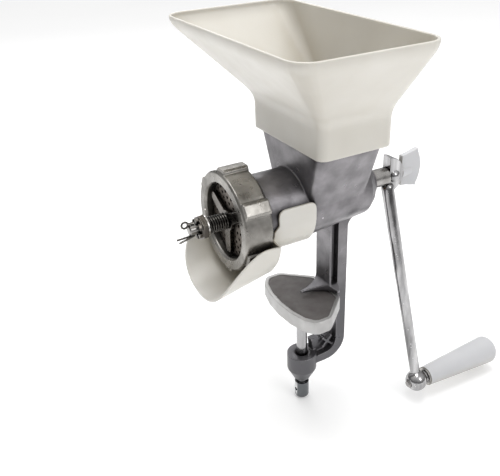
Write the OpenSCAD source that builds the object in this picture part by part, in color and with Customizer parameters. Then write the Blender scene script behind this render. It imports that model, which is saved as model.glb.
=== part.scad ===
// Hand-cranked pellet mill that clamps to a table edge.
// Frame: +Z up, the barrel runs along X with its outlet towards -X and the crank towards +X.
// The origin is where the clamp screw's axis meets the flat face of the upper clamp jaw.

/* [Barrel] */
// Height of the barrel's axis above the jaw face
axis_z = 98; // [90:1:114]
// Distance from the outlet ring's front face to the clamp screw's axis
front_reach = 78; // [76:1:86]
// Outer radius of the barrel between the outlet ring and the throat
barrel_r = 32.5; // [31.5:0.5:33]
// Outer radius of the barrel at its rear end
barrel_rear_r = 26.8; // [26:0.2:28.4]
// Length of the barrel from the outlet ring's front face to its rear face
barrel_len = 143; // [140:1:148]
// Radius of the bore that the feed screw turns in
bore_r = 23.9; // [22:0.1:24.5]
// Wall of the threaded front end round the die plate's pocket
front_wall = 3.5; // [3:0.1:4.2]

/* [Outlet ring] */
// Outer radius of the outlet ring
ring_r = 43; // [42:0.5:44.5]
// Length of the outlet ring along the barrel
ring_len = 26; // [24:0.5:27]
// Depth of the lip in front of the die plate
ring_lip = 7.5; // [6:0.5:9]
// Wall of the ring outside its thread
ring_wall = 4.4; // [3.8:0.1:5]
// Width of the lip that holds the die plate
lip_hold = 2.4; // [1.6:0.1:4]
// Number of grip lugs round the ring
lug_count = 6; // [4:1:8]
// Width of one grip lug
lug_w = 13; // [8:0.5:14]
// Height of a grip lug above the ring
lug_h = 3.2; // [2:0.1:3.6]

/* [Die plate and cutter] */
// Thickness of the die plate
plate_t = 6; // [4:0.5:8]
// Radius of one pellet hole
hole_r = 1.3; // [0.9:0.1:1.6]
// Rings of pellet holes in the die plate
hole_rings = 4; // [2:1:4]
// Radius of the die plate's centre bore
plate_bore_r = 8.48; // [7:0.02:9]
// Number of cutter blades
blade_count = 3; // [2:1:4]
// Gap between the cutter blades' tips and the ring's opening
blade_gap = 2.5; // [1.5:0.1:6]
// Thickness of the cutter
cutter_t = 3.2; // [2:0.2:4.4]
// Outer radius of the cutter's spring
spring_r = 7.3; // [7:0.1:8.4]
// Wire diameter of the cutter's spring
wire_d = 1.7; // [1.3:0.1:1.8]
// Turns in the cutter's spring
spring_turns = 8; // [5:1:9]
// Length of the cutter's spring
spring_len = 19; // [17:0.5:22]

/* [Throat and hopper] */
// Width of the throat along the barrel
throat_w = 65; // [60:1:68]
// Half depth of the throat at its top, across the barrel
throat_top_y = 51; // [46:1:54]
// Height of the throat's top above the barrel's axis
throat_top_z = 70; // [64:1:76]
// Half depth of the throat at its front end, where it sinks into the barrel
throat_low_y = 29; // [27:0.5:31]
// Half depth of the throat at its rear end, where it sinks into the barrel
throat_rear_y = 26; // [24:0.5:27]
// Wall of the casting round the throat
cast_wall = 3.2; // [2.5:0.1:4]
// Wall of the hopper
hopper_wall = 2.4; // [1.8:0.1:3]
// Height of the hopper's straight collar
collar_h = 30; // [24:1:34]
// Height of the hopper's rim above the barrel's axis
rim_z = 151; // [140:1:165]
// Length of the rim along the barrel
rim_x = 124; // [110:1:130]
// Width of the rim across the barrel
rim_y = 217; // [170:1:225]
// Corner radius of the rim
rim_corner = 18; // [12:1:34]

/* [Feed screw and crank] */
// Radius of the feed screw's flight
flight_r = 23.4; // [21:0.1:23.5]
// Turns of the flight
flight_turns = 3; // [2:1:4]
// Radius of the feed screw's core
core_r = 10; // [9.4:0.2:13]
// Radius of the shaft at its rear bearing
neck_r = 8.6; // [7.6:0.1:9]
// Wall of the rear bush
bush_wall = 2.6; // [2:0.1:3.4]
// Radius of the threaded front stud
stud_r = 4.4; // [4:0.1:4.4]
// Distance from the crank's hub to the centre of its ball end
crank_len = 213; // [190:1:220]
// Swing of the crank from straight down
crank_swing = 16.8; // [0:0.2:30]
// Radius of the crank rod at the hub
rod_top_r = 6.1; // [5.4:0.1:6.6]
// Radius of the crank rod at the ball
rod_low_r = 4.8; // [4.4:0.1:5.3]
// Radius of the crank's ball end
ball_r = 10.8; // [10:0.1:12]
// Length of the grip
grip_len = 89; // [80:1:100]
// Radius of the grip next to the ball
grip_r1 = 9.8; // [9.2:0.1:10.6]
// Radius of the grip at its outer end
grip_r2 = 14.4; // [12:0.1:16]

/* [Frame and clamp] */
// Width of the leg and of the lower arm, across the barrel
frame_w = 23; // [21:0.5:26]
// Thickness of the leg's and the arm's centre web
web_t = 8; // [6:0.5:10]
// Depth of the clamp's mouth from the jaw face to the top of the lower arm
mouth_h = 57; // [54:1:62]
// Distance from the screw's axis to the leg's outer face
leg_out_x = 43.5; // [43:0.5:48]
// Opening between the jaw face and the pad at rest
rest_gap = 2.2; // [2.1:0.1:4]
// Radius of the clamp screw
screw_r = 5.2; // [4.8:0.1:5.6]
// Radius of the clamp screw's turned head
head_r = 7.2; // [6.6:0.1:8]
// Radius of the boss that the clamp screw runs in
boss_r = 14.7; // [13:0.1:15.4]
// Half length of the pad across the barrel
pad_y = 46; // [40:1:48]
// Reach of the pad from the screw's axis towards the outlet
pad_x0 = 26; // [23:0.5:28]
// Reach of the pad from the screw's axis towards the leg
pad_x1 = 29.5; // [27:0.5:30]
// Height of the pad's rim
pad_h = 13.5; // [11:0.5:15]

/* [Chute] */
// Radius of the arc that the scoop's free edge follows, seen from the side
edge_r = 65; // [56:0.5:70]
// Wall of the chute
chute_wall = 2; // [1.6:0.1:2.4]
// Fall of the scoop towards its mouth, in degrees
scoop_fall = 12.8; // [10:0.1:16]

/* [Hidden] */
$fn = 64;

eps = 0.01;
run_fit = 0.08;       // radial clearance of a shaft in its bearing
slip_fit = 0.2;       // radial clearance of a part that slides on another
seat_gap = 0.2;       // gap between parts that turn against each other

metal = "silver";
steel = "gainsboro";
dark_steel = "dimgray";
plastic = "ivory";

front_x = -front_reach;
rear_x = front_x + barrel_len;

// The ring's thread, and the die plate and its pocket in the threaded front end
thread_r = ring_r - ring_wall;
plate_r = thread_r - front_wall - slip_fit;
ring_open_r = plate_r - lip_hold;
blade_reach = ring_open_r - blade_gap;
plate_x = ring_lip;
plate_proud = 1;
pocket_end = plate_x + plate_t;
thread_x0 = plate_x + plate_proud;
thread_x1 = ring_len;
key_r = 2;
first_hole_r = 14.5;
hole_pitch = (plate_r - 6 - first_hole_r) / max(1, hole_rings - 1);

// Cutter, spring, washer and nut on the front stud, from the plate outwards
cutter_x = plate_x - seat_gap - cutter_t;
spring_x1 = cutter_x - 0.1;
spring_x0 = spring_x1 - spring_len;
washer_t = 1.2;
washer_x0 = spring_x0 - 0.1 - washer_t;
nut_t = 7.5;
nut_x0 = washer_x0 - 0.1 - nut_t;
stud_end = nut_x0 - 5.5;
square_half = 4.5;
cutter_play = 2;
pin_x = nut_x0 - 2.2;
pin_r = 1.2;

// Throat
throat_x1 = barrel_len - 14;
throat_x0 = throat_x1 - throat_w;
throat_low_z = 0;
throat_lean = 2;
throat_corner = 5;
throat_low_corner = 10;

// Feed screw behind the plate
flight_x0 = pocket_end + 1;
flight_x1 = throat_x1 - 1;
bush_x0 = barrel_len - 12;
bush_x1 = barrel_len + 7;
shoulder_x = bush_x0 - 1.8;
bush_r = neck_r + run_fit + bush_wall;

// Crank hub, a flat lobe that the shaft's squared end enters from its straight side
hub_x0 = barrel_len + 29;
hub_lobe_r = 18;
hub_cut = 2;
hub_half = 5.6;
hub_rise = 2;
drive_half = 4.5;
drive_end = hub_x0 + 12;
rod_x0 = hub_x0 - 0.4;
rod_x1 = hub_x0 + 4.2;
hub_far = hub_x0 + hub_lobe_r - hub_cut;

// Wing knob behind the hub
wing_gap = 0.3;
wing_len = 23;
wing_t = 5;
wing_in = 15;
wing_out = 19;
wing_bow_r = 34;
wing_boss_len = 12;
wing_stud_r = 3;

// Grip on the ball's outer side
ball_x = rod_x1;
ball_y = -crank_len * sin(crank_swing);
ball_z = -crank_len * cos(crank_swing);
grip_x0 = ball_x + ball_r + 1.4;
grip_x1 = grip_x0 + grip_len;
grip_pin_r = 4.1;
pin_head_r = 6.6;

// Leg, jaw and lower arm
leg_in_x = leg_out_x - 20;
flange_t = 2.6;
spine_t = 10.5;
spine_x = leg_out_x - spine_t;
mouth_x = spine_x - 1.5;
arm_h = 24;
arm_flange = 7.5;
arm_low = -mouth_h - arm_h;
arm_corner = 22;
boss_top = -mouth_h - 13;
boss_low = boss_top - 18;
boss_tip = boss_low - 13;
boss_tip_r = 8;
jaw_tip_x = -0.8;
jaw_tip_w = 1.5;      // half width of the blunt end of the jaw's long prong
jaw_tip_y = 18.5;
jaw_root_h = 7;
jaw_tip_h = 2.2;

// Pad and clamp screw
pad_top = -rest_gap;
pad_low = pad_top - pad_h;
pad_boss_h = 11;
pad_boss_r = 19;
pad_base = pad_low - pad_boss_h;
liner_in = 4;
liner_t = 2;
liner_drop = 0.8;
liner_top = pad_top - liner_drop;
tip_r = 3.6;
tip_top = liner_top - liner_t - 0.4;
retainer_r = 7;
retainer_t = 1.5;
shoulder_z = pad_base + 12;
head_top = boss_tip - 4;
head_len = 20;
tommy_r = 1.9;

// ---- helpers -------------------------------------------------------------

// Cylinder or cone along the barrel, x measured from the outlet ring's front face
module x_rod(x0, x1, r, r2 = -1) {
    translate([front_x + x0, 0, axis_z]) rotate([0, 90, 0])
        cylinder(h = x1 - x0, r1 = r, r2 = r2 < 0 ? r : r2);
}

// Square bar along the barrel
module x_bar(x0, x1, half) {
    translate([front_x + x0, -half, axis_z - half]) cube([x1 - x0, 2 * half, 2 * half]);
}

// Flat shape drawn in X and Z, given thickness w across the barrel
module side_plate(w) {
    translate([0, w / 2, 0]) rotate([90, 0, 0]) linear_extrude(w) children();
}

// Point on an arc of radius r about c, from angle a0 to a1 in n steps
function arc(c, r, a0, a1, n = 12) =
    [for (i = [0:n]) c + r * [cos(a0 + (a1 - a0) * i / n), sin(a0 + (a1 - a0) * i / n)]];

// Curve from a to b that bends towards c
function bow(a, b, c, n = 8) =
    [for (i = [0:n]) let (t = i / n) pow(1 - t, 2) * a + 2 * t * (1 - t) * c + t * t * b];

// Rounded rectangle, lower corner at [x0, y0]
module round_rect(x0, x1, y0, y1, r) {
    translate([x0 + r, y0]) square([x1 - x0 - 2 * r, y1 - y0]);
    translate([x0, y0 + r]) square([x1 - x0, y1 - y0 - 2 * r]);
    for (x = [x0 + r, x1 - r], y = [y0 + r, y1 - r]) translate([x, y]) circle(r);
}

// Thin rounded slab at height z, one end of a hull: half depth y0 at x0 and y1 at x1
module slab(x0, x1, y0, y1, z, r) {
    for (s = [-1, 1]) {
        translate([x0 + r, s * (y0 - r), z]) cylinder(h = eps, r = r, $fn = 32);
        translate([x1 - r, s * (y1 - r), z]) cylinder(h = eps, r = r, $fn = 32);
    }
}

// Quarter turn of a level outline about [x, y], from angle a on, at height z
function loop_arc(x, y, r, a, z) =
    [for (p = arc([x, y], r, a, a + 90, 6)) [p[0], p[1], z]];

// Closed skin over a row of loops that all have as many points
module loft(loops) {
    n = len(loops[0]);
    last = (len(loops) - 1) * n;
    skin = [for (i = [0:len(loops) - 2], j = [0:n - 1], half = [0, 1])
        let (k = (j + 1) % n, low = i * n, high = low + n)
        half == 0 ? [low + j, high + j, high + k] : [low + j, high + k, low + k]];
    ends = [[for (j = [0:n - 1]) j], [for (j = [n - 1:-1:0]) last + j]];
    polyhedron([for (loop = loops, p = loop) p], concat(skin, ends), convexity = 8);
}

// ---- casting -------------------------------------------------------------

// Solid of the throat, grown outwards by g
module throat_form(g, low_z) {
    x0 = front_x + throat_x0;
    x1 = front_x + throat_x1;
    top_y = throat_top_y + g;
    hull() {
        slab(x0 - g, x1 + g, top_y, top_y, axis_z + throat_top_z + (g < 0 ? 1 : 0), throat_corner + g);
        slab(x0 + throat_lean - g, x1 + throat_lean + g, throat_low_y + g, throat_rear_y + g,
            axis_z + low_z, throat_low_corner + g);
    }
}

module barrel_form() {
    x_rod(thread_x0, thread_x1, thread_r);
    x_rod(thread_x1 - eps, throat_x0, barrel_r);
    x_rod(throat_x0 - eps, barrel_len - 7, barrel_r, barrel_rear_r);
    x_rod(barrel_len - 7 - eps, barrel_len, barrel_rear_r, barrel_rear_r - 5);
    x_rod(barrel_len - eps, bush_x1 + 1, bush_r + 3.4, bush_r + 2.6);
}

// Leg section: an inner flange, a centre web and a thick spine
module leg_form() {
    top = axis_z - 22;
    translate([leg_in_x, -frame_w / 2, 0]) cube([flange_t, frame_w, top]);
    translate([leg_in_x, -web_t / 2, 0]) cube([leg_out_x - leg_in_x - eps, web_t, top]);
    translate([spine_x, -frame_w / 2, 0]) cube([spine_t, frame_w, top]);
    // fillets where the leg meets the barrel
    side_plate(frame_w) polygon(concat(
        [[leg_in_x + eps, top], [leg_in_x + eps, top - 8]],
        arc([leg_in_x - 8, top - 16], 8, 0, 90, 8), [[leg_in_x - 8, top]]));
    side_plate(frame_w) polygon(concat(
        [[leg_out_x - eps, top - 12]], arc([leg_out_x + 9, top - 12], 9, 180, 90, 8),
        [[leg_out_x + 9, top], [leg_out_x - eps, top]]));
    translate([leg_in_x - 8, -frame_w / 2, top - eps])
        cube([leg_out_x - leg_in_x + 17, frame_w, 8]);
}

// Upper jaw: a flat foot with one long prong over the pad and a short one to each side
module jaw_form() {
    w = frame_w / 2;
    tip = jaw_tip_x;
    root = leg_in_x;
    intersection() {
        linear_extrude(jaw_root_h) polygon(concat(
            bow([tip, jaw_tip_w], [root, w], [root - 7, 3]),
            bow([root, -w], [tip, -jaw_tip_w], [root - 7, -3])));
        side_plate(frame_w) polygon(concat([[tip, 0]],
            bow([tip, jaw_tip_h], [root, jaw_root_h], [root - 8, jaw_tip_h + 1]), [[root, 0]]));
    }
    hull() {
        translate([root, -w, 0]) cube([spine_x - root + 1, frame_w, jaw_root_h - 1]);
        for (s = [-1, 1]) translate([root + 5, s * jaw_tip_y - 0.5, 0]) cube([2, 1, jaw_tip_h]);
    }
}

// Lower arm: a web with a flange that follows the outer curve of the C
module arm_form() {
    corner = [leg_out_x - arm_corner, arm_low + arm_corner];
    inner_r = arm_corner - 9;
    side_plate(frame_w)
        polygon(concat([[0, arm_low], [corner[0], arm_low]], arc(corner, arm_corner, -90, 0, 16),
            [[leg_out_x, eps], [spine_x, eps], [spine_x, corner[1]]],
            arc([spine_x - inner_r, corner[1]], inner_r, 0, -90, 12),
            [[0, arm_low + arm_flange]]));
    side_plate(web_t) polygon(concat(
        [[boss_r - 3, arm_low + 1], [corner[0], arm_low + 1], [leg_out_x - 6, corner[1]],
         [leg_out_x - 6, 0], [mouth_x, 0]],
        arc([mouth_x - 10, -mouth_h + 10], 10, 0, -90, 10), [[boss_r - 6, -mouth_h]]));
    // crossed ribs that stiffen the corner
    for (a = [-45, 45]) translate([leg_out_x - 19, 0, arm_low + 20]) rotate([0, a, 0])
        cube([15, frame_w - 5, 2.4], center = true);
}

module boss_form() {
    translate([0, 0, boss_low]) cylinder(h = boss_top - boss_low, r = boss_r);
    translate([0, 0, boss_tip]) cylinder(h = boss_low - boss_tip + eps, r1 = boss_tip_r, r2 = boss_r);
}

module body_casting() {
    color(metal) difference() {
        union() {
            barrel_form();
            difference() {
                throat_form(0, throat_low_z);
                x_rod(0, throat_x0, barrel_r);
            }
            leg_form();
            jaw_form();
            arm_form();
            boss_form();
        }
        // pocket for the die plate, feed cone and feed bore
        x_rod(0, pocket_end, plate_r + slip_fit);
        x_rod(pocket_end - eps, pocket_end + 14, plate_r - 4, bore_r);
        x_rod(0, bush_x0, bore_r);
        x_rod(bush_x0 - eps, bush_x1 + 2, bush_r);
        // inside of the throat
        throat_form(-cast_wall, 10);
        // slot for the die plate's key
        x_key(key_r + 0.05);
        // clamp screw's bore
        translate([0, 0, boss_tip - 1]) cylinder(h = boss_top - boss_tip + 2, r = screw_r + run_fit);
        translate([0, 0, boss_top - 2]) cylinder(h = 3, r1 = screw_r, r2 = screw_r + 3);
    }
}

// ---- fixed inner pieces --------------------------------------------------

module rear_bush() {
    color("peru") difference() {
        x_rod(bush_x0, bush_x1, bush_r);
        x_rod(bush_x0 - 1, bush_x1 + 1, neck_r + run_fit);
    }
}

// Key pin half in the die plate's rim and half in its pocket, grown to r for its slots
module x_key(r) {
    translate([0, 0, plate_r]) x_rod(thread_x0, pocket_end, r);
}

module plate_key() {
    color(steel) translate([0, 0, plate_r]) x_rod(thread_x0 + 0.2, pocket_end, key_r);
}

module die_plate() {
    color(dark_steel) difference() {
        x_rod(plate_x, pocket_end, plate_r);
        x_rod(plate_x - 1, pocket_end + 1, plate_bore_r);
        x_key(key_r + 0.05);
        for (ring = [0:hole_rings - 1]) {
            r = first_hole_r + ring * hole_pitch;
            n = 6 * floor(r * 2 * PI / 6 / 5.2);
            for (i = [0:n - 1]) {
                a = 360 * (i + ring / 2) / n;
                translate([0, r * sin(a), r * cos(a)]) x_rod(plate_x - 1, pocket_end + 1, hole_r);
            }
        }
    }
}

module thrust_washer() {
    color("tan") difference() {
        x_rod(bush_x0 - 1.6, bush_x0 - 0.2, bush_r + 2);
        x_rod(bush_x0 - 3, bush_x0 + 1, neck_r + slip_fit);
    }
}

// ---- outlet ring ---------------------------------------------------------

module ring_nut() {
    bevel = 1.4;
    color(metal) difference() {
        union() {
            x_rod(0, bevel, ring_r - bevel, ring_r);
            x_rod(bevel - eps, ring_len - 3, ring_r);
            x_rod(ring_len - 3 - eps, ring_len, ring_r, ring_r - 3);
            for (i = [0:lug_count - 1]) translate([0, 0, axis_z]) rotate([-2 - i * 360 / lug_count, 0, 0])
                translate([0, 0, -axis_z]) lug();
        }
        x_rod(-1, ring_lip + 1, ring_open_r);
        x_rod(-eps, 2, ring_open_r + 1.6, ring_open_r - eps);
        x_rod(ring_lip, ring_len + 1, thread_r + slip_fit);
    }
}

// Grip lug on top of the ring, a bar with rounded shoulders
module lug() {
    r = lug_w / 2;
    difference() {
        translate([front_x + 2, -r, axis_z + ring_r - 3]) cube([ring_len - 3.5, lug_w, lug_h + 3]);
        for (s = [-1, 1]) translate([front_x, s * r, axis_z + ring_r + lug_h])
            rotate([45, 0, 0]) cube([3 * ring_len, 2.6, 2.6], center = true);
        x_rod(-1, ring_len, ring_r - 2);
    }
}

// ---- hopper --------------------------------------------------------------

collar_x0 = front_x + throat_x0 - hopper_wall - 0.8;
collar_x1 = front_x + throat_x1 + hopper_wall + 0.8;
collar_y = throat_top_y + hopper_wall + 0.8;
collar_z0 = axis_z + throat_top_z - 14;
collar_z1 = collar_z0 + collar_h;
rim_x1 = collar_x1 - 1.4;
rim_band = 6;         // height of the rim's upright edge
collar_corner = 8;
flare_bend = 0.13;    // share of the flare that bends out of the collar
rim_bend = 0.1;       // share of the flare that bends into the upright edge
rim_x0 = rim_x1 - rim_x;
rim_top = axis_z + rim_z;
ledge_z = axis_z + throat_top_z + seat_gap;

// Outline of the hopper at height z, drawn in by g: share 0 is the collar's and share 1 the rim's
function hopper_ring(share, z, g) =
    let (x0 = collar_x0 + share * (rim_x0 - collar_x0) + g,
         x1 = collar_x1 + share * (rim_x1 - collar_x1) - g,
         y = collar_y + share * (rim_y / 2 - collar_y) - g,
         r = collar_corner + share * (rim_corner - collar_corner) - g)
    concat(loop_arc(x1 - r, y - r, r, 0, z), loop_arc(x0 + r, y - r, r, 90, z),
        loop_arc(x0 + r, -y + r, r, 180, z), loop_arc(x1 - r, -y + r, r, 270, z));

// Form of the hopper, drawn in by g and then longer at both ends
module hopper_form(g) {
    past = g > 0 ? 1 : 0;
    band_z = rim_top - rim_band;
    flare = band_z - collar_z1;
    profile = concat([[0, collar_z0 - past]],
        bow([0, collar_z1 - flare_bend * flare], [flare_bend, collar_z1 + flare_bend * flare],
            [0, collar_z1], 5),
        bow([1 - rim_bend, band_z - rim_bend * flare], [1, rim_top - rim_band / 3], [1, band_z], 5),
        [[1, rim_top + past]]);
    loft([for (p = profile) hopper_ring(p[0], p[1], g)]);
}

module hopper() {
    color(plastic) difference() {
        hopper_form(0);
        difference() {
            hopper_form(hopper_wall);
            // ledge that rests on the throat's top edge
            translate([collar_x0, -collar_y, ledge_z])
                cube([collar_x1 - collar_x0, 2 * collar_y, hopper_wall]);
        }
        translate([0, 0, ledge_z - 1]) linear_extrude(hopper_wall + 2)
            round_rect(collar_x0 + hopper_wall + 4, collar_x1 - hopper_wall - 4,
                -collar_y + hopper_wall + 4, collar_y - hopper_wall - 4, 4);
    }
}

// ---- chute ---------------------------------------------------------------

saddle_r = barrel_r + slip_fit;
saddle_x0 = ring_len + 9;
saddle_x1 = throat_x0 + 7;
saddle_up = 14;
saddle_corner = 6;
saddle_neck = 4.4;    // depth below the axis where the saddle widens towards the trough
scoop_r = ring_r + lug_h + 0.6;
scoop_back = ring_len + 1.4;
scoop_drop = 3;       // the scoop's axis lies this far below the barrel's at its back wall
edge_top = 2.3;       // top of the free edge's arc, below the barrel's axis
edge_x = scoop_back + 12.6;
edge_leave = 122.5;   // angle on the arc where the free edge leaves it for the back wall
edge_lift = 10.5;     // reach of the tangent that shapes the edge from there on
back_top = 10.5;      // top of the back wall, below the barrel's axis

// Trough tube, drawn round an axis that falls towards the mouth
module scoop_tube(r) {
    translate([front_x + scoop_back, 0, axis_z - scoop_drop]) rotate([0, -90 - scoop_fall, 0])
        translate([0, 0, -scoop_r / 2]) cylinder(h = 2.5 * scoop_r, r = r);
}

// Region that the trough keeps: below an arc up from the mouth that flattens out at the back wall
module mouth_cut() {
    centre = [edge_x, -edge_top - edge_r];
    leave = centre + edge_r * [cos(edge_leave), sin(edge_leave)];
    lift = leave + edge_lift * [sin(edge_leave), -cos(edge_leave)];
    side_plate(4 * scoop_r) translate([front_x, axis_z]) polygon(concat(
        arc(centre, edge_r, 180, edge_leave, 24), bow(leave, [scoop_back, -back_top], lift, 12),
        [[scoop_back, -3 * scoop_r], [edge_x - edge_r, -3 * scoop_r]]));
}

// Side view of the saddle: rounded above, and wider towards the trough below
module saddle_outline() {
    top = saddle_up - saddle_corner;
    neck_x = scoop_back + 3;
    step = saddle_x0 - neck_x;
    polygon(concat([[scoop_back, -2 * saddle_r], [saddle_x1, -2 * saddle_r]],
        arc([saddle_x1 - saddle_corner, top], saddle_corner, 0, 90, 8),
        arc([saddle_x0 + saddle_corner, top], saddle_corner, 90, 180, 8),
        [[saddle_x0, step - saddle_neck], [neck_x, -saddle_neck],
         [neck_x, -saddle_r / 2], [scoop_back, -saddle_r / 2]]));
}

// U-shaped section, open at the top: r is its radius and up its height above the axis
module saddle_form(x0, x1, r, up) {
    difference() {
        union() {
            x_rod(x0, x1, r);
            translate([front_x + x0, -r, axis_z]) cube([x1 - x0, 2 * r, up]);
        }
        translate([front_x + x0 - 1, -r - 1, axis_z + up]) cube([x1 - x0 + 2, 2 * r + 2, r]);
    }
}

module chute() {
    color("white") {
        intersection() {
            mouth_cut();
            difference() {
                scoop_tube(scoop_r + chute_wall);
                scoop_tube(scoop_r);
            }
        }
        difference() {
            union() {
                intersection() {
                    saddle_form(scoop_back, saddle_x1, saddle_r + chute_wall, saddle_up);
                    side_plate(4 * scoop_r) translate([front_x, axis_z]) saddle_outline();
                }
                // back wall that closes the trough behind the ring
                intersection() {
                    scoop_tube(scoop_r + chute_wall / 2);
                    translate([front_x + scoop_back, -2 * scoop_r, axis_z - back_top - 2 * scoop_r])
                        cube([chute_wall, 4 * scoop_r, 2 * scoop_r]);
                }
            }
            saddle_form(scoop_back - 1, saddle_x1 + 1, saddle_r, saddle_up + 1);
        }
    }
}

// ---- feed screw and what turns with it ------------------------------------

module auger() {
    color(steel) {
        // threaded front stud with its square for the cutter
        difference() {
            union() {
                x_rod(stud_end, cutter_x, stud_r);
                x_rod(stud_end - 1, stud_end + eps, stud_r - 1, stud_r);
            }
            translate([front_x + pin_x, 0, axis_z]) cylinder(h = 4 * stud_r, r = pin_r + 0.1, center = true);
        }
        intersection() {
            x_bar(cutter_x - cutter_play - 0.5, plate_x - seat_gap + eps, square_half);
            x_rod(cutter_x - cutter_play - 1, plate_x, spring_r - wire_d - slip_fit);
        }
        x_rod(plate_x - seat_gap, flight_x0, plate_bore_r - run_fit);
        x_rod(flight_x0 - eps, shoulder_x, core_r);
        x_rod(shoulder_x - 3, shoulder_x, bush_r + 1);
        // flight
        translate([front_x + flight_x0, 0, axis_z]) rotate([0, 90, 0])
            linear_extrude(flight_x1 - flight_x0, twist = -360 * flight_turns,
                slices = 24 * flight_turns, $fn = 18) flight_section();
        x_rod(shoulder_x - eps, hub_x0 - 1, neck_r);
        // squared end in the crank's hub, with a tapped hole for the wing knob's stud
        difference() {
            x_bar(hub_x0 - 1 - eps, drive_end, drive_half);
            x_rod(hub_x0 + 2, drive_end + 1, wing_stud_r + run_fit);
        }
    }
}

// Cross section of the flight: a sector that tapers towards the rim and starts inside the core
module flight_section() {
    root = 30;
    tip = 19;
    inner_r = core_r - 3;
    polygon(concat([[0, 0]], arc([0, 0], inner_r, -root, -root, 1),
        arc([0, 0], flight_r, -tip, tip, 6), arc([0, 0], inner_r, root, root, 1)));
}

module cutter() {
    color(dark_steel) difference() {
        union() {
            x_rod(cutter_x, plate_x - seat_gap, 9);
            for (i = [0:blade_count - 1]) translate([0, 0, axis_z])
                rotate([30 - i * 360 / blade_count, 0, 0]) translate([front_x + cutter_x, 0, 0])
                    rotate([0, 90, 0]) rotate([0, 0, 90]) linear_extrude(cutter_t)
                        polygon([[0, -5.5], [blade_reach - 2, -3.8], [blade_reach, -2],
                                 [blade_reach, 2.5], [blade_reach - 2, 4.2], [0, 5]]);
        }
        x_bar(cutter_x - 1, plate_x + 1, square_half + 0.1);
    }
}

// Helical wire with flat-ground ends
module cutter_spring() {
    mean_r = spring_r - wire_d / 2;
    rise = spring_len - wire_d - 0.1;
    steps = 20 * spring_turns;
    sides = 8;
    color(steel) translate([front_x + spring_x0 + 0.05, 0, axis_z]) rotate([0, 90, 0])
        loft([for (i = [0:steps]) [for (j = [0:sides - 1])
            let (a = 360 * spring_turns * i / steps, b = 360 * j / sides,
                 r = mean_r + wire_d / 2 * cos(b))
            [r * cos(a), r * sin(a), wire_d / 2 + rise * i / steps + wire_d / 2 * sin(b)]]]);
}

module spring_washer() {
    color(steel) difference() {
        x_rod(washer_x0, washer_x0 + washer_t, 9.7);
        x_rod(washer_x0 - 1, washer_x0 + washer_t + 1, stud_r + slip_fit);
    }
}

module castle_nut() {
    color(dark_steel) difference() {
        union() {
            translate([front_x + nut_x0 + 3, 0, axis_z]) rotate([0, 90, 0])
                cylinder(h = nut_t - 3, r = 11, $fn = 6);
            x_rod(nut_x0, nut_x0 + 3 + eps, 8.6);
        }
        x_rod(nut_x0 - 1, nut_x0 + nut_t + 1, stud_r + run_fit);
        for (a = [0, 60, 120]) translate([front_x + nut_x0 + 1, 0, axis_z]) rotate([a, 0, 0])
            cube([2.4, 40, 3], center = true);
    }
}

// Split pin across the stud, its eye leaning forward above and its two legs bent forward below
module split_pin() {
    eye_r = 2.7;
    eye_shank = 5.2;
    wire_r = 0.85;
    leg_len = 14.5;
    eye_z = stud_r + pin_r + seat_gap;
    leg_z = stud_r + wire_r + seat_gap;
    color(steel) translate([front_x + pin_x, 0, axis_z]) {
        translate([0, 0, -leg_z]) cylinder(h = leg_z + eye_z, r = pin_r);
        translate([0, 0, eye_z]) rotate([0, -90, 0]) {
            cylinder(h = eye_shank, r = pin_r);
            translate([0, 0, eye_shank - 0.6 + eye_r]) rotate([90, 0, 0])
                rotate_extrude() translate([eye_r, 0]) circle(wire_r);
        }
        for (s = [-1, 1]) translate([0, s * 0.5, -leg_z])
            rotate([0, 0, -10 * s]) rotate([0, -98, 0]) cylinder(h = leg_len, r = wire_r);
    }
}

// ---- crank ---------------------------------------------------------------

module crank_arm() {
    hub = [front_x + rod_x0, 0, axis_z];
    ball = [front_x + ball_x, ball_y, axis_z + ball_z];
    run = ball - hub;
    lean = atan2(run[0], norm([run[1], run[2]]));
    color(steel) difference() {
        union() {
            // hub lobe with its straight side towards the barrel
            side_plate(2 * hub_half) hub_outline();
            // rod from the hub to the ball
            translate(hub) rotate([-crank_swing, 0, 0]) rotate([0, 180 - lean, 0]) {
                translate([0, 0, 12]) cylinder(h = norm(run) - 12, r1 = rod_top_r, r2 = rod_low_r);
                translate([0, 0, 12]) sphere(rod_top_r);
            }
            translate(ball) sphere(ball_r);
            // fixed collar of the grip pin on the ball's outer side
            translate(ball) rotate([0, 90, 0]) cylinder(h = ball_r, r = 7);
        }
        x_bar(hub_x0 - 8, drive_end, drive_half + run_fit);
        x_rod(drive_end - 1, hub_far + 1, wing_stud_r + slip_fit);
        // room for the shaft's round neck in front of the hub
        x_rod(hub_x0 - 2 * rod_top_r, hub_x0 - 0.7, neck_r + 0.3);
        // grip pin's hole
        translate(ball) rotate([0, 90, 0]) cylinder(h = 4 * ball_r, r = grip_pin_r + 0.02, center = true);
        // set screw's hole
        translate([front_x + hub_x0 + 6, -hub_half - 1, axis_z]) rotate([-90, 0, 0])
            cylinder(h = hub_half, r = 2.6);
    }
}

module hub_outline() {
    translate([front_x + hub_x0, axis_z + hub_rise]) intersection() {
        translate([-hub_cut, 0]) circle(hub_lobe_r);
        translate([0, -hub_lobe_r]) square(2 * hub_lobe_r);
    }
}

// Domed set screw that holds the hub on the squared shaft
module hub_screw() {
    color(steel) translate([front_x + hub_x0 + 6, -hub_half, axis_z]) rotate([90, 0, 0]) {
        translate([0, 0, -0.9]) cylinder(h = 1, r = 2.5);
        intersection() {
            cylinder(h = 6, r = 5.8);
            translate([0, 0, -3]) sphere(6.6);
        }
    }
}

module wing_stud() {
    color(steel) x_rod(drive_end - 8, hub_far + 9, wing_stud_r);
}

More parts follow.
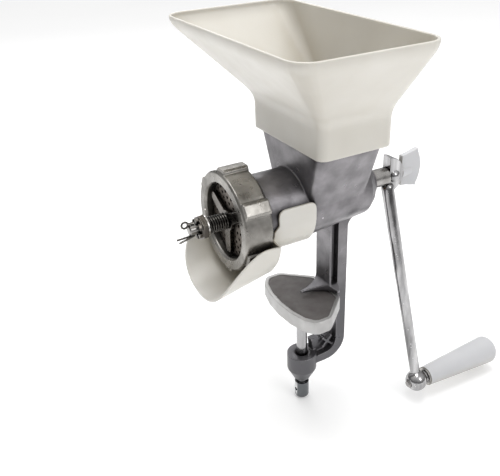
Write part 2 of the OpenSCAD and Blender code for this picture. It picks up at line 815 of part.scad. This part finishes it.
// Flared wing whose plane holds the shaft's axis
module wing_knob() {
    x0 = hub_far + wing_gap;
    x1 = x0 + wing_len;
    color("white") difference() {
        union() {
            side_plate(wing_t) translate([front_x, axis_z + hub_rise]) polygon(concat(
                [[x0, -wing_in], [x0 + wing_len / 4, -wing_in - 0.6], [x1 - 4, -wing_out]],
                arc([x1 - wing_bow_r, 0], wing_bow_r, -30, 30, 12),
                [[x1 - 4, wing_out], [x0 + wing_len / 4, wing_in + 0.6], [x0, wing_in]]));
            x_rod(x0, x0 + wing_boss_len, 5.6, 4);
        }
        x_rod(x0 - 1, hub_far + 9, wing_stud_r + 0.02);
    }
}

module at_ball() {
    translate([front_x, ball_y, axis_z + ball_z]) rotate([0, 90, 0]) children();
}

module grip() {
    round_end = 7;
    color("whitesmoke") at_ball() difference() {
        union() {
            translate([0, 0, grip_x0]) cylinder(h = grip_len - round_end + eps, r1 = grip_r1, r2 = grip_r2);
            translate([0, 0, grip_x1 - round_end]) rotate_extrude() {
                square([grip_r2 - round_end, round_end]);
                intersection() {
                    translate([grip_r2 - round_end, 0]) circle(round_end);
                    square([grip_r2, round_end]);
                }
            }
        }
        translate([0, 0, grip_x0 - 1]) cylinder(h = grip_len + 2, r = grip_pin_r + run_fit);
        translate([0, 0, grip_x1 - 12]) cylinder(h = 20, r = pin_head_r + slip_fit);
    }
}

module grip_washer() {
    color(steel) at_ball() difference() {
        translate([0, 0, ball_x + ball_r + 0.15]) cylinder(h = 1.1, r = 8.6);
        translate([0, 0, ball_x]) cylinder(h = 2 * ball_r, r = grip_pin_r + run_fit);
    }
}

// Pin riveted in the ball, with its head sunk in the grip's outer end
module grip_pin() {
    color(steel) at_ball() {
        translate([0, 0, ball_x - ball_r + 0.4]) cylinder(h = grip_x1 - ball_x + ball_r - 12.2, r = grip_pin_r);
        translate([0, 0, grip_x1 - 11.8]) cylinder(h = 4, r = pin_head_r);
        translate([0, 0, ball_x - ball_r - 1]) cylinder(h = 1.41, r1 = 2.8, r2 = grip_pin_r);
    }
}

// ---- clamp ---------------------------------------------------------------

// Plan of the pad, drawn in by g: a long side towards the outlet and a short one at the leg.
// Corners are shares of the reach along the barrel and of the half length across it.
module pad_plan(g) {
    front = [[-1, 0], [-0.94, 0.42], [-0.77, 0.78], [-0.54, 0.96], [-0.38, 1]];
    rear = [[0.03, 1], [0.17, 0.95], [0.95, 0.5], [1, 0.42]];
    side = concat([for (p = front) [p[0] * (pad_x0 - g), p[1] * (pad_y - g)]],
        [for (p = rear) [p[0] * (pad_x1 - g), p[1] * (pad_y - g)]]);
    polygon(concat(side, [for (i = [len(side) - 1:-1:1]) [side[i][0], -side[i][1]]]));
}

module clamp_pad() {
    color("lightgray") difference() {
        union() {
            translate([0, 0, pad_low]) linear_extrude(pad_h) pad_plan(0);
            translate([0, 0, pad_base]) cylinder(h = pad_boss_h + eps, r1 = pad_boss_r - 3, r2 = pad_boss_r);
        }
        translate([0, 0, liner_top - liner_t]) linear_extrude(pad_h) pad_plan(liner_in - 0.2);
        translate([0, 0, liner_top - liner_t - retainer_t - 0.4]) cylinder(h = pad_h, r = retainer_r + 0.4);
        translate([0, 0, pad_base - 1]) cylinder(h = pad_h + pad_boss_h, r = tip_r + run_fit);
        translate([0, 0, pad_base - 1]) cylinder(h = shoulder_z - pad_base + 1.1, r = screw_r + run_fit);
    }
}

module pad_liner() {
    color("dimgray") translate([0, 0, liner_top - liner_t]) linear_extrude(liner_t) pad_plan(liner_in);
}

module pad_retainer() {
    color(dark_steel) translate([0, 0, liner_top - liner_t - retainer_t - 0.2]) difference() {
        cylinder(h = retainer_t, r = retainer_r);
        translate([0, 0, -1]) cylinder(h = retainer_t + 2, r = tip_r + 0.05);
    }
}

module clamp_screw() {
    color(steel) difference() {
        union() {
            translate([0, 0, head_top - eps]) cylinder(h = shoulder_z - head_top + eps, r = screw_r);
            translate([0, 0, shoulder_z - eps]) cylinder(h = tip_top - shoulder_z, r = tip_r);
            translate([0, 0, head_top - head_len]) rotate_extrude() {
                translate([0, 3]) square([head_r, head_len - 4]);
                square([head_r - 3, head_len]);
                intersection() {
                    translate([head_r - 3, 3]) circle(3);
                    square([head_r, 3]);
                }
                translate([0, head_len - 1]) square([head_r - 1, 1]);
            }
        }
        // hole for a tommy bar
        translate([0, 0, head_top - head_len / 2]) rotate([0, 90, 0])
            cylinder(h = 4 * head_r, r = tommy_r, center = true);
    }
}

body_casting();
rear_bush();
plate_key();
die_plate();
ring_nut();
hopper();
chute();
auger();
thrust_washer();
cutter();
cutter_spring();
spring_washer();
castle_nut();
split_pin();
crank_arm();
hub_screw();
wing_stud();
wing_knob();
grip();
grip_washer();
grip_pin();
clamp_screw();
clamp_pad();
pad_liner();
pad_retainer();
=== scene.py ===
import math

import bpy
from mathutils import Matrix, Vector


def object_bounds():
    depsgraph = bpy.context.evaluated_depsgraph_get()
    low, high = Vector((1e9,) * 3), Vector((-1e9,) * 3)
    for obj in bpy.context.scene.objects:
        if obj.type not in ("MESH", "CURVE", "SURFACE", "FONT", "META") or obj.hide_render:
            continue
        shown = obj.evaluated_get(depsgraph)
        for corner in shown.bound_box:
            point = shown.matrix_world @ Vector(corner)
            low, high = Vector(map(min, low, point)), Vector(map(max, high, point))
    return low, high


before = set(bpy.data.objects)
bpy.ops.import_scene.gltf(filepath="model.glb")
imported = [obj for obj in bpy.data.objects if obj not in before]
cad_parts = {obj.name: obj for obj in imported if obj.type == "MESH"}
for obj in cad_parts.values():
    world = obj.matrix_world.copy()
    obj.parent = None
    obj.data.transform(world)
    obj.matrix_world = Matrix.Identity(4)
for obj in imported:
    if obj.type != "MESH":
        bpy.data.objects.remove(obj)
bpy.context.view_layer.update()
MM = 0.001

# ---- camera ----------------------------------------------------------------

CAMERA_AT = Vector((-0.285284, -0.448039, 0.351510))
CAMERA_AZIMUTH = math.radians(-28.533)
CAMERA_ELEVATION = math.radians(28.401)
CAMERA_ROLL = math.radians(-1.998)
FOCAL_PX = 667.405
CENTRE_PX = (260.953, 233.893)
PHOTO_SIZE = (500, 476)


def add_camera():
    """Camera at the photo's own place, angle and focal length."""
    az, el = CAMERA_AZIMUTH, CAMERA_ELEVATION
    ahead = -Vector((math.sin(az) * math.cos(el), -math.cos(az) * math.cos(el), math.sin(el)))
    right = ahead.cross(Vector((0, 0, 1))).normalized()
    up = right.cross(ahead)
    c, s = math.cos(CAMERA_ROLL), math.sin(CAMERA_ROLL)
    x_axis = c * right + s * up
    y_axis = -s * right + c * up
    data = bpy.data.cameras.new("camera")
    data.sensor_width = 36.0
    data.lens = FOCAL_PX / PHOTO_SIZE[0] * data.sensor_width
    data.shift_x = -(CENTRE_PX[0] - PHOTO_SIZE[0] / 2) / PHOTO_SIZE[0]
    data.shift_y = (CENTRE_PX[1] - PHOTO_SIZE[1] / 2) / PHOTO_SIZE[0]
    data.clip_start = 0.01
    data.clip_end = 30
    camera = bpy.data.objects.new("camera", data)
    bpy.context.scene.collection.objects.link(camera)
    rotation = Matrix((x_axis, y_axis, -ahead)).transposed().to_4x4()
    camera.matrix_world = Matrix.Translation(CAMERA_AT) @ rotation
    bpy.context.scene.camera = camera


add_camera()

# ---- materials -------------------------------------------------------------


class Paint:
    """A Principled material whose colour, roughness and bump come from noise."""

    def __init__(self, name, metallic, ior=1.45):
        self.mat = bpy.data.materials.new(name)
        self.mat.use_nodes = True
        self.tree = self.mat.node_tree
        self.shader = self.tree.nodes["Principled BSDF"]
        self.set("Metallic", metallic)
        self.set("IOR", ior)
        self.coords = self.tree.nodes.new("ShaderNodeTexCoord").outputs["Object"]
        self.normal = None

    def set(self, socket, value):
        self.shader.inputs[socket].default_value = value

    def noise(self, scale, detail=4, stretch=(1, 1, 1)):
        """Noise over the piece, scale in features per metre."""
        source = self.coords
        if stretch != (1, 1, 1):
            mapping = self.tree.nodes.new("ShaderNodeMapping")
            mapping.inputs["Scale"].default_value = stretch
            self.tree.links.new(source, mapping.inputs["Vector"])
            source = mapping.outputs["Vector"]
        node = self.tree.nodes.new("ShaderNodeTexNoise")
        node.inputs["Scale"].default_value = scale
        node.inputs["Detail"].default_value = detail
        self.tree.links.new(source, node.inputs["Vector"])
        return node.outputs["Fac"]

    def ramp(self, source, low, high, start=0.3, end=0.7):
        """Maps noise from start to end onto low to high, colours or numbers."""
        if isinstance(low, (int, float)):
            node = self.tree.nodes.new("ShaderNodeMapRange")
            node.inputs["From Min"].default_value = start
            node.inputs["From Max"].default_value = end
            node.inputs["To Min"].default_value = low
            node.inputs["To Max"].default_value = high
            self.tree.links.new(source, node.inputs["Value"])
            return node.outputs["Result"]
        node = self.tree.nodes.new("ShaderNodeValToRGB")
        node.color_ramp.elements[0].position = start
        node.color_ramp.elements[0].color = (*low, 1)
        node.color_ramp.elements[1].position = end
        node.color_ramp.elements[1].color = (*high, 1)
        self.tree.links.new(source, node.inputs["Fac"])
        return node.outputs["Color"]

    def colour(self, source, low, high, start=0.3, end=0.7):
        self.tree.links.new(self.ramp(source, low, high, start, end), self.shader.inputs["Base Color"])

    def rough(self, source, low, high, start=0.3, end=0.7):
        self.tree.links.new(self.ramp(source, low, high, start, end), self.shader.inputs["Roughness"])

    def bump(self, source, height, strength=1.0):
        """Adds a bump of that height in metres on top of the ones before it."""
        node = self.tree.nodes.new("ShaderNodeBump")
        node.inputs["Distance"].default_value = height
        node.inputs["Strength"].default_value = strength
        self.tree.links.new(source, node.inputs["Height"])
        if self.normal is not None:
            self.tree.links.new(self.normal, node.inputs["Normal"])
        self.normal = node.outputs["Normal"]
        self.tree.links.new(self.normal, self.shader.inputs["Normal"])

    def mix_colour(self, amount, tint, mode="MIX"):
        """Blends the base colour so far with a tint by an amount socket."""
        target = self.shader.inputs["Base Color"]
        node = self.tree.nodes.new("ShaderNodeMix")
        node.data_type = "RGBA"
        node.blend_type = mode
        self.tree.links.new(amount, node.inputs["Factor"])
        self.tree.links.new(target.links[0].from_socket, node.inputs["A"])
        node.inputs["B"].default_value = (*tint, 1)
        self.tree.links.new(node.outputs["Result"], target)

    def recess(self, reach):
        """1 deep in a recess and 0 in the open, within reach metres: the mask for painted shade in
        recesses.
        """
        node = self.tree.nodes.new("ShaderNodeAmbientOcclusion")
        node.samples = 8
        node.inputs["Distance"].default_value = reach
        return self.ramp(node.outputs["AO"], 1.0, 0.0, 0.35, 0.95)

    def depth(self, top, bottom):
        """0 at height top and 1 at height bottom, in metres."""
        split = self.tree.nodes.new("ShaderNodeSeparateXYZ")
        self.tree.links.new(self.coords, split.inputs["Vector"])
        return self.ramp(split.outputs["Z"], 1.0, 0.0, bottom, top)

    def edge(self, start, end):
        """1 on outer edges, from the surface's own curvature: the mask for edge wear and painted edge
        highlight.
        """
        node = self.tree.nodes.new("ShaderNodeNewGeometry")
        return self.ramp(node.outputs["Pointiness"], 0.0, 1.0, start, end)


PAINTED_LEG_SHADE = (0.06, -0.02)      # heights between which the casting turns darker towards the bottom, a painted shade
HEAD_SHADE = (-0.1, -0.106)    # heights between which the clamp screw turns to its head's tone
PAINTED_WARM_SHADE = (0.75, 0.7125, 0.6375)    # share of each colour left by the painted warm shade in white plastic's recesses
DRAWN = (1, 1, 0.05)           # stretch of the marks that drawing leaves along a rod


def scaled(tone, factor):
    """A tone made darker or brighter by a factor, white at most."""
    return tuple(min(1.0, c * factor) for c in tone)


def cast_aluminium(name, low, high, rough, recess_shade, metallic, low_shade_tone=None):
    """Tumbled casting: mottled, with painted shade in its recesses and its edges brightened as wear and
    painted highlight.
    """
    paint = Paint(name, metallic)
    paint.colour(paint.noise(45, 6), low, high)
    if low_shade_tone:
        # painted shade: the casting darker towards the bottom
        paint.mix_colour(paint.depth(*PAINTED_LEG_SHADE), low_shade_tone)
    # painted shade: recesses darkened by ambient occlusion
    paint.mix_colour(paint.recess(0.012), scaled(low, 1 - recess_shade))
    # edge wear and painted highlight: convex edges brightened well past the casting's own tone
    paint.mix_colour(paint.edge(0.53, 0.6), scaled(high, 2.4))
    paint.rough(paint.noise(110, 5), *rough)
    paint.bump(paint.noise(120, 3), 0.0008, 0.3)
    paint.bump(paint.noise(900, 4), 0.00015, 0.5)
    return paint.mat


def plated_steel(name, low, high, rough=(0.18, 0.34), stretch=(1, 1, 1), recess_shade=0.6, head_tone=None):
    """Turned or drawn steel: finely mottled, with painted shade in its gaps and its edges brightened as
    wear and painted highlight.
    """
    paint = Paint(name, 1.0)
    paint.colour(paint.noise(120, 5, stretch), low, high)
    if head_tone:
        paint.mix_colour(paint.depth(*HEAD_SHADE), head_tone)
    # painted shade: gaps darkened by ambient occlusion
    paint.mix_colour(paint.recess(0.006), scaled(low, 1 - recess_shade))
    # edge wear and painted highlight: convex edges brightened well past the steel's own tone
    paint.mix_colour(paint.edge(0.56, 0.68), scaled(high, 2.2))
    paint.rough(paint.noise(200, 5, stretch), *rough)
    paint.bump(paint.noise(700, 3, stretch), 0.00008, 0.4)
    return paint.mat


def white_plastic(name, low, high):
    """Moulded plastic: faintly translucent, with a painted warm shade in its recesses."""
    paint = Paint(name, 0.0, 1.5)
    paint.colour(paint.noise(18, 3), low, high)
    # painted shade: recesses given a darker, warmer tone by ambient occlusion
    paint.mix_colour(paint.recess(0.04), tuple(c * s for c, s in zip(low, PAINTED_WARM_SHADE)))
    paint.rough(paint.noise(60, 4), 0.3, 0.42)
    paint.bump(paint.noise(500, 3), 0.00005, 0.3)
    paint.set("Subsurface Weight", 0.12)
    paint.set("Subsurface Radius", (1.0, 0.9, 0.75))
    paint.set("Subsurface Scale", 0.003)
    return paint.mat


def dark_rubber(name):
    """Matt dark sheet of the pad's liner."""
    paint = Paint(name, 0.0, 1.5)
    paint.colour(paint.noise(90, 5), (0.1, 0.09, 0.087), (0.14, 0.13, 0.127))
    paint.rough(paint.noise(150, 4), 0.5, 0.75)
    paint.bump(paint.noise(800, 3), 0.0001, 0.5)
    return paint.mat


CASTING = cast_aluminium("cast_casting", (0.115, 0.11, 0.116), (0.285, 0.274, 0.285),
                         rough=(0.26, 0.44), recess_shade=0.3, metallic=0.75, low_shade_tone=(0.12, 0.118, 0.125))
RING = cast_aluminium("cast_ring", (0.13, 0.123, 0.112), (0.4, 0.385, 0.36),
                      rough=(0.22, 0.38), recess_shade=0.6, metallic=0.9)
PAD = cast_aluminium("cast_pad", (0.42, 0.415, 0.41), (0.55, 0.545, 0.54),
                     rough=(0.42, 0.6), recess_shade=0.4, metallic=0.8)
BRASS = plated_steel("bush_bronze", (0.3, 0.2, 0.1), (0.4, 0.27, 0.14))
STEEL = plated_steel("zinc_steel", (0.26, 0.25, 0.24), (0.38, 0.37, 0.36))
CRANK = plated_steel("crank_steel", (0.2, 0.197, 0.2), (0.55, 0.545, 0.55), (0.08, 0.2), DRAWN)
SCREW = plated_steel("screw_steel", (0.2, 0.197, 0.2), (0.5, 0.495, 0.5), (0.1, 0.24), DRAWN,
                     head_tone=(0.15, 0.158, 0.165))
SPRING = plated_steel("spring_steel", (0.07, 0.066, 0.06), (0.13, 0.123, 0.115), (0.12, 0.24), recess_shade=0.8)
DIE = plated_steel("die_steel", (0.07, 0.058, 0.048), (0.14, 0.12, 0.102), (0.3, 0.48), recess_shade=0.8)
CUTTER = plated_steel("cutter_steel", (0.1, 0.09, 0.08), (0.18, 0.165, 0.15), (0.2, 0.38), recess_shade=0.7)
HOPPER = white_plastic("hopper_plastic", (0.58, 0.555, 0.5), (0.63, 0.61, 0.56))
CHUTE = white_plastic("chute_plastic", (0.6, 0.58, 0.53), (0.65, 0.635, 0.6))
GRIP = white_plastic("grip_plastic", (0.5, 0.505, 0.52), (0.56, 0.56, 0.575))
WASHER = white_plastic("washer_plastic", (0.6, 0.56, 0.46), (0.68, 0.64, 0.54))
LINER = dark_rubber("liner_rubber")

FINISH = {
    "body_casting": CASTING, "ring_nut": RING, "clamp_pad": PAD, "rear_bush": BRASS,
    "plate_key": STEEL, "auger": STEEL, "spring_washer": STEEL, "castle_nut": CUTTER,
    "split_pin": SPRING, "cutter_spring": SPRING, "wing_stud": STEEL, "grip_washer": STEEL,
    "grip_pin": STEEL, "pad_retainer": STEEL, "crank_arm": CRANK, "hub_screw": CRANK,
    "clamp_screw": SCREW, "die_plate": DIE, "cutter": CUTTER, "hopper": HOPPER,
    "chute": CHUTE, "grip": GRIP, "wing_knob": GRIP, "thrust_washer": WASHER, "pad_liner": LINER,
}


def dress(node, material):
    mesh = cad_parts[node].data
    mesh.materials.clear()
    mesh.materials.append(material)


for node_name, finish in FINISH.items():
    dress(node_name, finish)


def soften(node, voxel, rounds):
    """Rounds a node's edges by a fine remesh and some smoothing."""
    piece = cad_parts[node]
    remesh = piece.modifiers.new("skin", "REMESH")
    remesh.mode = "VOXEL"
    remesh.voxel_size = voxel
    remesh.use_smooth_shade = True
    smooth = piece.modifiers.new("round", "SMOOTH")
    smooth.factor = 0.5
    smooth.iterations = rounds


# voxel in millimetres and rounds of smoothing
SOFTENED = {
    "body_casting": (0.6, 5), "hopper": (0.7, 6), "chute": (0.5, 4), "ring_nut": (0.5, 5),
    "clamp_pad": (0.5, 6), "crank_arm": (0.4, 9), "wing_knob": (0.3, 6), "die_plate": (0.3, 2),
    "cutter": (0.2, 4), "castle_nut": (0.2, 4), "cutter_spring": (0.15, 3),
}

for node_name, (voxel_mm, smoothing) in SOFTENED.items():
    soften(node_name, voxel_mm * MM, smoothing)

# ---- stage -----------------------------------------------------------------

FLOOR_HALF = 12.0
FLOOR_DROP = 0.001
FLOOR_GLOW = 0.22
HORIZON_TONE = (0.2, 0.2, 0.2)
OVERHEAD_AT = 0.75
OUTLET_SIDE = (-0.9, 0.5)      # share of the way towards -X, and the surround's strength there
CRANK_SIDE = (0.2, 1.0)
LIT_POINT = (0, 0, 0.1)
# place, size of the panel and power of each light
LIGHTS = {
    "top": ((-0.1, 0.1, 1.6), (1.0, 1.0), 16),
    "key": ((0.5, -1.4, 1.1), (0.6, 0.8), 6),
    "back": ((0.3, 1.3, 1.0), (0.8, 0.6), 4),
}


def add_floor():
    """Plain pale floor just below the part."""
    mesh = bpy.data.meshes.new("floor")
    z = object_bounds()[0][2] - FLOOR_DROP
    corners = [(x * FLOOR_HALF, y * FLOOR_HALF, z) for x, y in ((-1, -1), (1, -1), (1, 1), (-1, 1))]
    mesh.from_pydata(corners, [], [(0, 1, 2, 3)])
    floor = bpy.data.objects.new("floor", mesh)
    bpy.context.scene.collection.objects.link(floor)
    paint = Paint("floor", 0.0)
    paint.colour(paint.noise(2, 2), (0.88, 0.88, 0.88), (0.9, 0.9, 0.9))
    paint.set("Roughness", 0.9)
    paint.set("Emission Color", (1, 1, 1, 1))
    paint.set("Emission Strength", FLOOR_GLOW)
    mesh.materials.append(paint.mat)


def add_area(name, at, size, power):
    """Soft panel light aimed at the part."""
    data = bpy.data.lights.new(name, "AREA")
    data.shape = "RECTANGLE"
    data.size, data.size_y = size
    data.energy = power
    light = bpy.data.objects.new(name, data)
    light.location = at
    light.rotation_euler = (Vector(LIT_POINT) - Vector(at)).to_track_quat("-Z", "Y").to_euler()
    bpy.context.scene.collection.objects.link(light)


def add_world():
    """Soft studio surround: bright overhead, darker towards the horizon and on the outlet's side."""
    world = bpy.data.worlds.new("world")
    bpy.context.scene.world = world
    world.use_nodes = True
    tree = world.node_tree
    coords = tree.nodes.new("ShaderNodeTexCoord")
    split = tree.nodes.new("ShaderNodeSeparateXYZ")
    ramp = tree.nodes.new("ShaderNodeValToRGB")
    ramp.color_ramp.elements[0].position = 0.0
    ramp.color_ramp.elements[0].color = (*HORIZON_TONE, 1)
    ramp.color_ramp.elements[1].position = OVERHEAD_AT
    ramp.color_ramp.elements[1].color = (1, 1, 1, 1)
    tree.links.new(coords.outputs["Generated"], split.inputs["Vector"])
    tree.links.new(split.outputs["Z"], ramp.inputs["Fac"])
    tree.links.new(ramp.outputs["Color"], tree.nodes["Background"].inputs["Color"])
    side = tree.nodes.new("ShaderNodeMapRange")
    side.inputs["From Min"].default_value, side.inputs["To Min"].default_value = OUTLET_SIDE
    side.inputs["From Max"].default_value, side.inputs["To Max"].default_value = CRANK_SIDE
    tree.links.new(split.outputs["X"], side.inputs["Value"])
    tree.links.new(side.outputs["Result"], tree.nodes["Background"].inputs["Strength"])


add_floor()
add_world()
for light_name, (place, panel, watts) in LIGHTS.items():
    add_area(light_name, place, panel, watts)
bpy.context.scene.view_settings.view_transform = "Standard"
